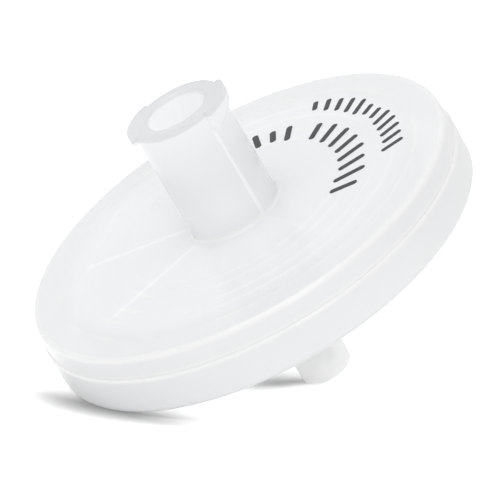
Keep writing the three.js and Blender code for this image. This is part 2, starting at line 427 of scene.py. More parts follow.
        opacity = self.window + (self.solid - self.window) * (band + ribs).clamped()
        opacity = opacity + neck * (self.neck_opacity - self.window)
        opacity = opacity + spout * (self.spout_opacity - self.window)
        waves = graph.bump(cloud, self.cloud_relief, self.cloud_rise)
        raised = graph.bump(ridges, 1.0, self.ridge_rise, waves)
        ribbed = graph.bump(ribs * plate, 1.0, self.rib_rise, raised)
        skin = graph.noise(place, *self.skin)
        inputs = {
            "Base Color": colour,
            "Roughness": self.roughness + (flow - 0.5) * self.roughness_spread,
            "Normal": graph.bump(skin, self.skin_relief, self.skin_rise, ribbed),
            "IOR": self.index,
            "Alpha": (opacity + panel_edge_glints).clamped(),
            "Coat Weight": 1 - band * (1 - self.band_gloss),
            "Coat Roughness": self.gloss_roughness,
            "Coat IOR": self.gloss_index,
        }
        face = graph.node("ShaderNodeBsdfPrincipled", {}, inputs).outputs[0]
        glow = graph.node("ShaderNodeBsdfTranslucent", {}, {"Color": colour}).outputs[0]
        share = self.window_glow + (self.rim_glow - self.window_glow) * rim
        share = share + z.ramp(*self.neck_lit) * (self.neck_glow - self.window_glow)
        share = share + spout * (self.spout_glow - self.window_glow)
        share = share + socket * (self.socket_glow - self.neck_glow)
        share = share * (1 - (ribs + panel_edge_glints).clamped())
        graph.finish(graph.node("ShaderNodeMixShader", {}, {0: share, 1: face, 2: glow}).outputs[0])
        return made


@dataclass(frozen=True)
class PorousSheet:
    """White cellulose membrane: matt, with a fine felted grain."""

    name: str = "porous_membrane"
    base: Colour = (0.96, 0.96, 0.955)
    shaded: Colour = (0.92, 0.92, 0.92)
    roughness: float = 0.85
    roughness_spread: float = 0.1
    felt: Grain = (6.0, 6.0, 0.7)
    pore_scale: float = 9.0
    felt_share: float = 0.7
    pore_share: float = 0.5
    tones: Span = (0.25, 0.8)
    relief: float = 0.5
    rise: float = 0.00004

    def material(self, centre: Vector, turn: Sequence[float]) -> bpy.types.Material:
        """The finish as a Blender material; the arguments are those of Polypropylene."""
        made = bpy.data.materials.new(self.name)
        graph = ShaderGraph(made)
        place = graph.place(centre, turn)
        felt = graph.noise(place, *self.felt)
        inputs = {"Vector": place, "Scale": self.pore_scale}
        pores = graph.value("ShaderNodeTexVoronoi", {}, inputs, "Distance")
        height = felt * self.felt_share + pores * self.pore_share
        # Lower spots of the felt and the pores take the shaded colour: painted shade in the grain's hollows.
        colour = graph.blend(height.ramp(*self.tones), (*self.shaded, 1), (*self.base, 1))
        inputs = {
            "Base Color": colour,
            "Roughness": self.roughness + (felt - 0.5) * self.roughness_spread,
            "Normal": graph.bump(height, self.relief, self.rise),
        }
        graph.finish(graph.node("ShaderNodeBsdfPrincipled", {}, inputs).outputs[0])
        return made


@dataclass(frozen=True)
class PadInk:
    """Thin black pad print, slightly satin, a little uneven as such ink is."""

    name: str = "pad_print_ink"
    base: Colour = (0.012, 0.012, 0.014)
    thin: Colour = (0.035, 0.035, 0.04)
    roughness: float = 0.42
    roughness_spread: float = 0.2
    patches: Grain = (2.5, 3.0)
    grain: Grain = (16.0, 2.0)
    patch_share: float = 0.7
    grain_share: float = 0.5
    tones: Span = (0.55, 0.8)
    relief: float = 0.3
    rise: float = 0.00001

    def material(self, centre: Vector, turn: Sequence[float]) -> bpy.types.Material:
        """The finish as a Blender material; the arguments are those of Polypropylene."""
        made = bpy.data.materials.new(self.name)
        graph = ShaderGraph(made)
        place = graph.place(centre, turn)
        patches = graph.noise(place, *self.patches)
        grain = graph.noise(place, *self.grain)
        worn = (patches * self.patch_share + grain * self.grain_share).ramp(*self.tones)
        colour = graph.blend(worn, (*self.base, 1), (*self.thin, 1))
        inputs = {
            "Base Color": colour,
            "Roughness": self.roughness + (grain - 0.5) * self.roughness_spread,
            "Normal": graph.bump(grain, self.relief, self.rise),
        }
        graph.finish(graph.node("ShaderNodeBsdfPrincipled", {}, inputs).outputs[0])
        return made


@dataclass(frozen=True)
class Table:
    """Plain white table top with the filter's contact shadow painted on it.

    The painted contact shade has two parts, under the edge of the rim and beside the outlet, where
    ambient occlusion held to drawn places mixes in black. Their places are in metres of the row frame,
    and the reaches are how far a covering surface counts.
    """

    name: str = "table_top"
    tone: float = 0.92
    lift: float = 0.6
    contact_reach: float = 0.005
    cover_reach: float = 0.02
    contact_depth: float = 0.75
    contact_samples: int = 16
    rim_cover: Span = (0.0, 0.8)
    rim_end: Span = (-0.013, -0.0085)
    spout_cover: Span = (0.35, 0.9)
    spout_start: Span = (-0.003, 0.004)
    spout_side: Span = (-0.002, 0.002)
    mottle: Grain = (40.0, 3.0)
    mottle_depth: float = 0.01

    def material(self) -> bpy.types.Material:
        """The finish: white, lifted to the plain backdrop in all views, with a painted shadow close to a
        contact.

        Returns:
            The material.
        """
        made = bpy.data.materials.new(self.name)
        graph = ShaderGraph(made)
        source = graph.node("ShaderNodeTexCoord", {}, {}).outputs["Object"]
        parts = graph.node("ShaderNodeSeparateXYZ", {}, {0: source})
        x, y = (Shade(graph, parts.outputs[i]) for i in (0, 1))
        settings = {"samples": self.contact_samples}
        close, wide = (
            1 - graph.value("ShaderNodeAmbientOcclusion", settings, {"Distance": reach}, "AO")
            for reach in (self.contact_reach, self.cover_reach)
        )
        # Painted shadow: ambient occlusion near the rim's contact and under the disc beside the outlet, cut
        # to these places on the table, mixes black into the floor.
        under_rim = close.ramp(*self.rim_cover) * (1 - x.ramp(*self.rim_end))
        under_spout = wide.ramp(*self.spout_cover) * x.ramp(*self.spout_start) * y.ramp(*self.spout_side)
        painted_contact_shade = 1 - (under_rim + under_spout).clamped() * self.contact_depth
        mottle = graph.noise(source, *self.mottle)
        tone = graph.blend(mottle, grey(self.tone), grey(self.tone - self.mottle_depth))
        plain = graph.node("ShaderNodeBsdfDiffuse", {}, {"Color": tone}).outputs[0]
        glow = graph.node("ShaderNodeEmission", {}, {"Color": grey(1.0), "Strength": self.lift}).outputs[0]
        lifted = graph.node("ShaderNodeAddShader", {}, {0: plain, 1: glow}).outputs[0]
        dark = graph.node("ShaderNodeEmission", {}, {"Color": grey(0.0)}).outputs[0]
        shaded = graph.node("ShaderNodeMixShader", {}, {0: painted_contact_shade, 1: dark, 2: lifted}).outputs[0]
        graph.finish(graph.node("ShaderNodeMixShader", {}, {0: graph.seen(), 1: plain, 2: shaded}).outputs[0])
        return made


# ---------------------------------------------------------------- form trees


class FormTree:
    """A Geometry Nodes tree with named inputs that ends in a dressed, realized mesh."""

    def __init__(self, name: str) -> None:
        """Makes an empty tree.

        Args:
            name: the tree's name.
        """
        self.tree = bpy.data.node_groups.new(name, "GeometryNodeTree")
        self.tree.interface.new_socket("Geometry", in_out="OUTPUT", socket_type="NodeSocketGeometry")
        self.inputs: dict[str, str] = {}
        self.start: Optional[bpy.types.Node] = None

    def declare(self, **sockets: tuple[str, Any]) -> None:
        """Args:
            sockets: a socket kind and a default for each input, such as ("Float", 1.0).
        """
        for name, (kind, default) in sockets.items():
            made = self.tree.interface.new_socket(name, in_out="INPUT", socket_type=f"NodeSocket{kind}")
            if default is not None:
                made.default_value = default
            self.inputs[name] = made.identifier
        self.start = self.tree.nodes.new("NodeGroupInput")

    def given(self, name: str) -> bpy.types.NodeSocket:
        """The socket that carries one of the tree's inputs."""
        return self.start.outputs[name]

    def node(self, kind: str, settings: Mapping[str, Any], inputs: Mapping[Any, Any]) -> bpy.types.Node:
        """Adds one node, as ShaderGraph.node does."""
        made = self.tree.nodes.new(kind)
        for name, value in settings.items():
            setattr(made, name, value)
        for name, value in inputs.items():
            socket = made.inputs[name]
            if isinstance(value, bpy.types.NodeSocket):
                self.tree.links.new(value, socket)
            elif isinstance(value, (list, tuple)) and value and isinstance(value[0], bpy.types.NodeSocket):
                for source in value:
                    self.tree.links.new(source, socket)
            else:
                socket.default_value = value
        return made

    def out(self, kind: str, settings: Mapping[str, Any], inputs: Mapping[Any, Any]) -> bpy.types.NodeSocket:
        """Adds one node and gives its first output."""
        return self.node(kind, settings, inputs).outputs[0]

    def math(self, operation: str, first: Any, second: Any = 0.0) -> bpy.types.NodeSocket:
        """One Math node."""
        return self.out("ShaderNodeMath", {"operation": operation}, {0: first, 1: second})

    def vector(self, x: Any = 0.0, y: Any = 0.0, z: Any = 0.0) -> bpy.types.NodeSocket:
        """Three numbers as one vector."""
        return self.out("ShaderNodeCombineXYZ", {}, {0: x, 1: y, 2: z})

    def raised(self, outline: bpy.types.NodeSocket, height: Any) -> bpy.types.NodeSocket:
        """A closed flat curve filled and raised along +Z into a closed solid."""
        flat = self.out("GeometryNodeFillCurve", {}, {"Curve": outline})
        offset = self.vector(z=height)
        inputs = {"Mesh": flat, "Offset": offset, "Offset Scale": 1.0, "Individual": False}
        walls = self.out("GeometryNodeExtrudeMesh", {"mode": "FACES"}, inputs)
        under = self.out("GeometryNodeFlipFaces", {}, {"Mesh": flat})
        both = self.out("GeometryNodeJoinGeometry", {}, {0: [walls, under]})
        return self.out("GeometryNodeMergeByDistance", {}, {"Geometry": both, "Distance": MERGE_DISTANCE})

    def finish(self, geometry: bpy.types.NodeSocket) -> None:
        """Ends the tree in Realize Instances and Set Material; it has an input named material."""
        real = self.out("GeometryNodeRealizeInstances", {}, {"Geometry": geometry})
        inputs = {"Geometry": real, "Material": self.given("material")}
        dressed = self.out("GeometryNodeSetMaterial", {}, inputs)
        self.node("NodeGroupOutput", {}, {0: dressed})

    def grow(self, name: str, **values: Any) -> bpy.types.Object:
        """Runs the tree once and keeps the result as a plain mesh.

        Args:
            name: the new object's name.
            values: a value for each input.

        Returns:
            The object that holds the mesh.
        """
        carrier = new_object(f"{name}_carrier", bpy.data.meshes.new(f"{name}_carrier"))
        modifier = carrier.modifiers.new("form", "NODES")
        modifier.node_group = self.tree
        for key, value in values.items():
            modifier[self.inputs[key]] = value
        mesh = evaluated_mesh(carrier)
        carrier.modifiers.remove(modifier)
        bpy.data.objects.remove(carrier)
        mesh.name = name
        return new_object(name, mesh)


def bars_tree() -> FormTree:
    """Bars round the axis, each along a radius, with rounded lower edges.

    Returns:
        The tree, with inputs in millimetres and radians.
    """
    form = FormTree("bars_round_an_axis")
    form.declare(
        count=("Int", 8),
        start=("Float", 4.0),
        end=("Float", 12.0),
        width=("Float", 0.5),
        bottom=("Float", 0.0),
        top=("Float", 1.0),
        edge=("Float", 0.2),
        first_angle=("Float", 0.0),
        material=("Material", None),
    )
    height = form.math("SUBTRACT", form.given("top"), form.given("bottom"))
    inputs = {"Width": height, "Height": form.given("width")}
    outline = form.node("GeometryNodeCurvePrimitiveQuadrilateral", {}, inputs).outputs[0]
    place = form.out("GeometryNodeInputPosition", {}, {})
    downward = form.node("ShaderNodeSeparateXYZ", {}, {0: place}).outputs[0]
    radius = form.math("MULTIPLY", form.given("edge"), form.math("GREATER_THAN", downward, 0.0))
    inputs = {"Curve": outline, "Radius": radius, "Count": 8, "Limit Radius": True}
    section = form.out("GeometryNodeFilletCurve", {"mode": "POLY"}, inputs)
    length = form.math("SUBTRACT", form.given("end"), form.given("start"))
    level = form.math("MULTIPLY", form.math("ADD", form.given("top"), form.given("bottom")), 0.5)
    shift = form.vector(x=form.given("start"), z=level)
    inputs = {"Geometry": form.raised(section, length), "Translation": shift, "Rotation": (0, math.pi / 2, 0)}
    bar = form.out("GeometryNodeTransform", {}, inputs)
    points = form.out("GeometryNodePoints", {}, {"Count": form.given("count")})
    step = form.math("DIVIDE", math.tau, form.given("count"))
    turns = form.math("MULTIPLY", form.out("GeometryNodeInputIndex", {}, {}), step)
    angle = form.math("ADD", turns, form.given("first_angle"))
    inputs = {"Points": points, "Instance": bar, "Rotation": form.vector(z=angle)}
    form.finish(form.out("GeometryNodeInstanceOnPoints", {}, inputs))
    return form


# ---------------------------------------------------------------- meshes


def new_object(name: str, mesh: bpy.types.Mesh) -> bpy.types.Object:
    """Puts a mesh in the scene."""
    made = bpy.data.objects.new(name, mesh)
    bpy.context.scene.collection.objects.link(made)
    return made


def evaluated_mesh(source: bpy.types.Object) -> bpy.types.Mesh:
    """The mesh that an object's modifiers give."""
    source.update_tag()
    bpy.context.view_layer.update()
    graph = bpy.context.evaluated_depsgraph_get()
    return bpy.data.meshes.new_from_object(source.evaluated_get(graph), depsgraph=graph)


def combine(base: bpy.types.Object, other: bpy.types.Object, join: Join) -> None:
    """Joins a solid to another or cuts it away, and removes it.

    Args:
        base: the solid that is kept.
        other: the solid that is added or cut away.
        join: which of the two.
    """
    modifier = base.modifiers.new("combine", "BOOLEAN")
    modifier.operation = join.value
    modifier.solver = "MANIFOLD"
    modifier.object = other
    mesh = evaluated_mesh(base)
    base.modifiers.remove(modifier)
    before = base.data
    base.data = mesh
    bpy.data.meshes.remove(before)
    bpy.data.objects.remove(other)


def rounded(corners: Sequence[Corner]) -> list[Point]:
    """A closed section with its corners rounded.

    Args:
        corners: radius, level and edge radius of each corner, in order; 0 leaves a corner sharp.

    Returns:
        The points of the section, with a point on either side of each edge that keeps its faces flat.
    """
    points: list[Point] = []
    for i, (r, z, edge) in enumerate(corners):
        here = Vector((r, z))
        before = Vector(corners[i - 1][:2]) - here
        after = Vector(corners[(i + 1) % len(corners)][:2]) - here
        turn = before.angle(after)
        if edge <= 0:
            points.append((r, z))
            continue
        reach = edge / math.tan(turn / 2)
        into, out = before.normalized(), after.normalized()
        centre = here + (into + out).normalized() * (edge / math.sin(turn / 2))
        steps = max(2, round(ROUND_STEPS * math.sqrt(edge)))
        first, last = here + into * reach - centre, here + out * reach - centre
        if reach + SUPPORT < before.length / 2:
            points.append(tuple(here + into * (reach + SUPPORT)))
        sweep = first.angle_signed(last)
        for k in range(steps + 1):
            angle = -sweep * k / steps
            spun = Matrix.Rotation(angle, 2) @ first
            points.append(tuple(centre + spun))
        if reach + SUPPORT < after.length / 2:
            points.append(tuple(here + out * (reach + SUPPORT)))
    return points


def revolve(name: str, section: Sequence[Point], steps: int = TURN_STEPS) -> bpy.types.Object:
    """A closed section turned round the axis; a point on the axis becomes one shared vertex.

    Args:
        name: the object's name.
        section: radius and level of each point, in order.
        steps: how many faces go round.

    Returns:
        The object.
    """
    form = bmesh.new()
    rings = []
    for r, z in section:
        if r < ON_AXIS:
            rings.append([form.verts.new((0, 0, z))] * steps)
            continue
        turns = [math.tau * k / steps for k in range(steps)]
        rings.append([form.verts.new((r * math.cos(t), r * math.sin(t), z)) for t in turns])
    for i, ring in enumerate(rings):
        other = rings[(i + 1) % len(rings)]
        for k in range(steps):
            corners = [ring[k], ring[(k + 1) % steps], other[(k + 1) % steps], other[k]]
            distinct = list(dict.fromkeys(corners))
            if len(distinct) > 2:
                form.faces.new(distinct)
    return closed(name, form)


def sweep(
    name: str, angles: Sequence[float], section: Callable[[float], Sequence[Point]]
) -> bpy.types.Object:
    """A section carried along an arc round the axis, closed by a face at each end.

    Args:
        name: the object's name.
        angles: where the section is drawn, in degrees.
        section: the closed section at an angle, always with as many points.

    Returns:
        The object.
    """
    form = bmesh.new()
    rings = []
    for angle in angles:
        c, s = math.cos(math.radians(angle)), math.sin(math.radians(angle))
        rings.append([form.verts.new((r * c, r * s, z)) for r, z in section(angle)])
    for ring, other in zip(rings, rings[1:]):
        for k in range(len(ring)):
            following = (k + 1) % len(ring)
            form.faces.new([ring[k], ring[following], other[following], other[k]])
    form.faces.new(rings[0])
    form.faces.new(rings[-1])
    return closed(name, form)


def closed(name: str, form: bmesh.types.BMesh) -> bpy.types.Object:
    """Turns a built form into an object whose faces point outwards."""
    bmesh.ops.recalc_face_normals(form, faces=form.faces)
    mesh = bpy.data.meshes.new(name)
    form.to_mesh(mesh)
    form.free()
    return new_object(name, mesh)


def ring_of(source: bpy.types.Object, count: int, first: float = 0.0) -> bpy.types.Object:
    """Repeats a piece round the axis, as one mesh.

    Args:
        source: the piece, which is removed.
        count: how many there are.
        first: the first one's turn, in degrees.

    Returns:
        The object that holds them all.
    """
    form = bmesh.new()
    for k in range(count):
        copy = source.data.copy()
        copy.transform(Matrix.Rotation(math.radians(first) + math.tau * k / count, 4, "Z"))
        form.from_mesh(copy)
        bpy.data.meshes.remove(copy)
    name = source.name
    bpy.data.objects.remove(source)
    return closed(name, form)


@dataclass(frozen=True)
class Pose:
    """How the filter lies: its axis leans in the XZ plane, and it is turned about that axis."""

    origin: Vector
    lean: float
    spin: float

    @classmethod
    def from_record(cls, record: Mapping[str, Any], outlet_length: float, spin: float) -> "Pose":
        """Reads the pose from the record's two mounts, which lie at the mouth and at the tip.

        Args:
            record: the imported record.
            outlet_length: from the underside of the rim to the tip, in millimetres.
            spin: turn about the filter's own axis, in degrees.

        Returns:
            The pose.
        """
        spots = {mount["name"]: mount["pos_m"] for mount in record["mounts"]}
        names = ("inlet_mouth_face", "outlet_end_face")
        mouth, tip = (Vector((spots[name][0], 0, spots[name][2])) for name in names)
        axis = (mouth - tip).normalized()
        return cls(tip + axis * outlet_length * MM, math.atan2(-axis.x, axis.z), math.radians(spin))

    @property
    def matrix(self) -> Matrix:
        """From the filter's own frame in millimetres to the row frame in metres."""
        turned = Matrix.Rotation(-self.lean, 4, "Y") @ Matrix.Rotation(self.spin, 4, "Z")
        return Matrix.Translation(self.origin) @ turned @ Matrix.Scale(MM, 4)

    @property
    def upright(self) -> tuple[float, float, float]:
        """Euler angles that bring the row frame's directions back to the filter's own."""
        return tuple(self.matrix.to_3x3().normalized().inverted().to_euler())

    def settle(self, piece: bpy.types.Object) -> bpy.types.Object:
        """Puts a finished piece in its place and smooths its round faces.

        Args:
            piece: drawn in the filter's own frame, and dressed.

        Returns:
            The same piece.
        """
        mesh = piece.data
        mesh.transform(self.matrix)
        mesh.shade_smooth()
        mesh.set_sharp_from_angle(angle=SHARP_ANGLE)
        mesh.update()
        triangles = sum(len(face.vertices) - 2 for face in mesh.polygons)
        log.info("%s: %d triangles", piece.name, triangles)
        return piece


# ---------------------------------------------------------------- the filter


@dataclass(frozen=True)
class Stack:
    """Levels and radii that the halves and the membrane share, in millimetres."""

    underside: float = 0.6
    floor: float = 1.6
    seat: float = 2.25
    membrane_bottom: float = 2.3
    membrane_top: float = 2.55
    clamp: float = 2.6
    seam: float = 3.0
    ceiling: float = 3.4
    top: float = 4.65
    mouth: float = 13.85
    tip: float = -10.1
    chamber_radius: float = 12.45
    membrane_radius: float = 13.7
    locating_radius: float = 13.82
    rim_radius: float = 16.75
    first_spoke: float = 4.0
    spokes: int = 8


def arc_angles(half_span: float, radius: float, edge: float, pitch: float = 1.25) -> list[float]:
    """Angles along an arc, closer together at its rounded ends.

    Args:
        half_span: half of the arc, in degrees.
        radius: the arc's radius.
        edge: the radius of the rounded ends.
        pitch: the angle between sections away from the ends.

    Returns:
        The angles in degrees, from one end to the other.
    """
    end = math.degrees(edge / radius)
    ends = [half_span - end * share for share in END_SHARES]
    inside = half_span - end * END_REACH
    steps = max(2, round(2 * inside / pitch))
    middle = [-inside + 2 * inside * k / steps for k in range(steps + 1)]
    return [-a for a in ends] + middle + ends[::-1]


def end_inset(angle: float, half_span: float, radius: float, edge: float) -> float:
    """How far a rounded end draws in the outer face at an angle, in millimetres."""
    left = max(0.0, math.radians(half_span - abs(angle)) * radius)
    if left >= edge:
        return 0.0
    return edge - math.sqrt(edge**2 - (edge - left) ** 2)


@dataclass
class Neck:
    """The inlet neck: a socket with two lock lugs at its mouth and a raised panel between them."""

    stack: Stack
    radius: float = 3.33
    draft: float = 0.13
    root: float = 0.28
    socket_radius: float = 2.15
    socket_depth: float = 8.0
    socket_taper: float = 0.03
    bevel_width: float = 0.35
    bevel_depth: float = 0.25
    orifice: float = 1.2
    mouth_edge: float = 0.1
    bevel_edge: float = 0.05
    throat_edge: float = 0.08
    socket_floor_edge: float = 0.2
    orifice_edge: float = 0.12
    orifice_end_edge: float = 0.1
    embed: float = 0.35
    lugs: int = 2
    lug_radius: float = 3.89
    lug_span: float = 73.0
    lug_overlap: float = 0.6
    lug_thin: float = 0.62
    lug_lead: float = 5.0
    lug_edge: float = 0.14
    panel_radius: float = 3.45
    panel_edge: float = 0.08
    root_steps: int = 8

    def corners(self) -> list[Corner]:
        """The neck's share of the section, from the plate up, over the mouth and down the socket."""
        s = self.stack
        top = s.mouth - self.bevel_depth
        bottom = top - self.socket_depth
        narrow = self.socket_radius - self.socket_taper * self.socket_depth
        return [
            (self.radius + self.draft, s.top, self.root),
            (self.radius, s.mouth, self.mouth_edge),
            (self.socket_radius + self.bevel_width, s.mouth, self.bevel_edge),
            (self.socket_radius, top, self.throat_edge),
            (narrow, bottom, self.socket_floor_edge),
            (self.orifice, bottom, self.orifice_edge),
            (self.orifice, s.ceiling, self.orifice_end_edge),
        ]

    def lug(self) -> bpy.types.Object:
        """One lug, whose underside climbs as a right-handed thread does."""
        top = self.stack.mouth
        half = self.lug_span / 2 + self.lug_overlap
        inner = self.radius - self.embed

        def section(angle: float) -> list[Point]:
            """The lug's section at an angle."""
            outer = self.lug_radius - end_inset(angle, half, self.lug_radius, self.lug_edge)
            bottom = top - self.lug_thin - self.lug_lead * (self.lug_span / 2 - angle) / 360
            return rounded([
                (inner, bottom, 0),
                (outer, bottom, self.lug_edge),
                (outer, top, self.lug_edge),
                (inner, top, 0),
            ])

        return sweep("lugs", arc_angles(half, self.lug_radius, self.lug_edge), section)

    def panel(self) -> bpy.types.Object:
        """One raised panel, with the neck's root round its foot."""
        s = self.stack
        half = (360 / self.lugs - self.lug_span) / 2
        inner = self.radius - self.embed
        centre = s.top + self.root
        turns = [math.radians(180 + 90 * k / self.root_steps) for k in range(self.root_steps + 1)]

        def section(angle: float) -> list[Point]:
            """The panel's section at an angle."""
            outer = self.panel_radius - end_inset(angle, half, self.panel_radius, self.panel_edge)
            low = outer + self.draft
            foot = low + self.root
            curve = [(foot + self.root * math.cos(t), centre + self.root * math.sin(t)) for t in turns]
            crest = rounded([(inner, s.mouth, 0), (outer, s.mouth, self.mouth_edge), (low, centre, 0)])[:-1]
            return [*crest, *curve, (foot, s.top - self.embed), (inner, s.top - self.embed)]

        return sweep("panels", arc_angles(half, self.panel_radius, self.panel_edge), section)


@dataclass
class Outlet:
    """The outlet spout: a plain cone with a bore, rooted in the underside."""

    stack: Stack
    tip_radius: float = 1.9625
    tip_edge: float = 0.25
    taper: float = 0.03
    root: float = 0.8
    bore: float = 1.05
    drain_edge: float = 0.1
    bore_edge: float = 0.08

    def corners(self) -> list[Corner]:
        """The spout's share of the section, from the chamber floor down and out to the underside."""
        s = self.stack
        wide = self.tip_radius + self.taper * (s.underside - s.tip)
        return [
            (self.bore, s.floor, self.drain_edge),
            (self.bore, s.tip, self.bore_edge),
            (self.tip_radius, s.tip, self.tip_edge),
            (wide, s.underside, self.root),
        ]


@dataclass
class Grid:
    """The rings that carry the membrane, with drain channels cut across them."""

    stack: Stack
    hub_radius: float = 2.6
    rings: int = 5
    ring_width: float = 0.45
    ring_foot: float = 0.1
    ring_edge: float = 0.08
    channel_start: float = 1.6
    channel_end: float = 11.4
    channel_width: float = 0.9
    channel_edge: float = 0.12
    clearance: float = 0.2

    def corners(self) -> list[Corner]:
        """The rings' share of the housing's section, from the outside inwards."""
        s = self.stack
        pitch = (s.chamber_radius - self.hub_radius) / self.rings
        corners = []
        for k in range(1, self.rings + 1):
            outer = s.chamber_radius - pitch * k + self.ring_width / 2
            inner = outer - self.ring_width
            corners += [(outer, s.floor, self.ring_foot), (outer, s.seat, self.ring_edge)]
            corners += [(inner, s.seat, self.ring_edge), (inner, s.floor, self.ring_foot)]
        return corners


@dataclass
class Housing:
    """Both halves as the weld leaves them, one solid with the membrane's chamber inside it."""

    stack: Stack
    name: str = "welded_housing"
    wall_radius: float = 16.6
    wall_draft: float = 0.1
    top_edge: float = 0.35
    foot_inner: float = 15.15
    foot_edge: float = 0.4
    band_edge: float = 0.25
    ceiling_edge: float = 0.12
    clamp_edge: float = 0.08
    pocket_edge: float = 0.05
    seat_edge: float = 0.06
    floor_edge: float = 0.1
    recess_edge: float = 0.15
    foot_inner_edge: float = 0.12
    rib_start: float = 4.15
    rib_end: float = 12.0
    rib_width: float = 0.4
    rib_height: float = 0.45
    rib_embed: float = 0.2
    rib_edge: float = 0.15

    def _section(self, neck: Neck, outlet: Outlet, grid: Grid) -> list[Point]:
        """The whole section, round edges included."""
        s = self.stack
        return rounded([
            (s.chamber_radius, s.ceiling, self.ceiling_edge),
            (s.chamber_radius, s.clamp, self.clamp_edge),
            (s.locating_radius, s.clamp, self.pocket_edge),
            (s.locating_radius, s.seat, self.pocket_edge),
            (s.chamber_radius, s.seat, self.seat_edge),
            (s.chamber_radius, s.floor, self.floor_edge),
            *grid.corners(),
            *outlet.corners(),
            (self.foot_inner, s.underside, self.recess_edge),
            (self.foot_inner, 0.0, self.foot_inner_edge),
            (s.rim_radius, 0.0, self.foot_edge),
            (s.rim_radius, s.seam, self.band_edge),
            (self.wall_radius, s.seam, 0.0),
            (self.wall_radius - self.wall_draft, s.top, self.top_edge),
            *neck.corners(),
        ])

    def build(self, material: bpy.types.Material) -> bpy.types.Object:
        """Makes the housing, in the filter's own frame.

        Args:
            material: its finish.

        Returns:
            The housing.
        """
        s = self.stack
        neck, grid = Neck(s), Grid(s)
        body = revolve(self.name, self._section(neck, Outlet(s), grid))
        combine(body, ring_of(neck.panel(), neck.lugs, 180 / neck.lugs), Join.ADD)
        combine(body, ring_of(neck.lug(), neck.lugs), Join.ADD)
        bars = bars_tree()
        ribs = bars.grow(
            "spreader_ribs",
            count=s.spokes,
            start=self.rib_start,
            end=self.rib_end,
            width=self.rib_width,
            bottom=s.ceiling - self.rib_height,
            top=s.ceiling + self.rib_embed,
            edge=self.rib_edge,
            first_angle=math.radians(s.first_spoke),
            material=material,
        )
        combine(body, ribs, Join.ADD)
        channels = bars.grow(
            "drain_channels",
            count=s.spokes,
            start=grid.channel_start,
            end=grid.channel_end,
            width=grid.channel_width,
            bottom=s.floor,
            top=s.seat + grid.clearance,
            edge=grid.channel_edge,
            first_angle=math.radians(s.first_spoke),
            material=material,
        )
        combine(body, channels, Join.CUT)
        body.data.materials.clear()
        body.data.materials.append(material)
        return body


@dataclass
class MembraneSheet:
    """The membrane, a thin disc that cockles a little where nothing clamps it."""

    stack: Stack
    name: str = "membrane_sheet"
    edge: float = 0.05
    ring_pitch: float = 0.4
    cockle: float = 0.035
    cockle_size: float = 3.2
    held_width: float = 0.5
    freedom: float = 4.0
    steps: int = 144

    def build(self, material: bpy.types.Material) -> bpy.types.Object:
        """Makes the sheet, in the filter's own frame.

        Args:
            material: its finish.

        Returns:
            The sheet.
        """
        s = self.stack
        bottom, top = s.membrane_bottom, s.membrane_top
        rings = int(s.membrane_radius / self.ring_pitch)
        radii = [s.membrane_radius * k / rings for k in range(rings)]
        rim = rounded([
            (radii[-1], bottom, 0),
            (s.membrane_radius, bottom, self.edge),
            (s.membrane_radius, top, self.edge),
            (radii[-1], top, 0),
        ])
        section = [(r, bottom) for r in radii[:-1]] + rim + [(r, top) for r in radii[-2::-1]]
        sheet = revolve(self.name, section, self.steps)
        for vertex in sheet.data.vertices:
            spot = Vector((vertex.co.x, vertex.co.y, 0))
            free = max(0.0, 1 - spot.length / (s.chamber_radius - self.held_width))
            lift = 0.5 + 0.5 * noise.noise(spot / self.cockle_size)
            vertex.co.z += self.cockle * lift * min(1.0, self.freedom * free)
        sheet.data.materials.append(material)
        return sheet


@dataclass(frozen=True)
class MarkRow:
    """A row of printed dashes on an arc round the axis, in millimetres and degrees."""

    name: str
    count: int
    radius: float
    first: float
    last: float
    length: float
    width: float
    slant: float = 0.0
    spread: float = 0.0


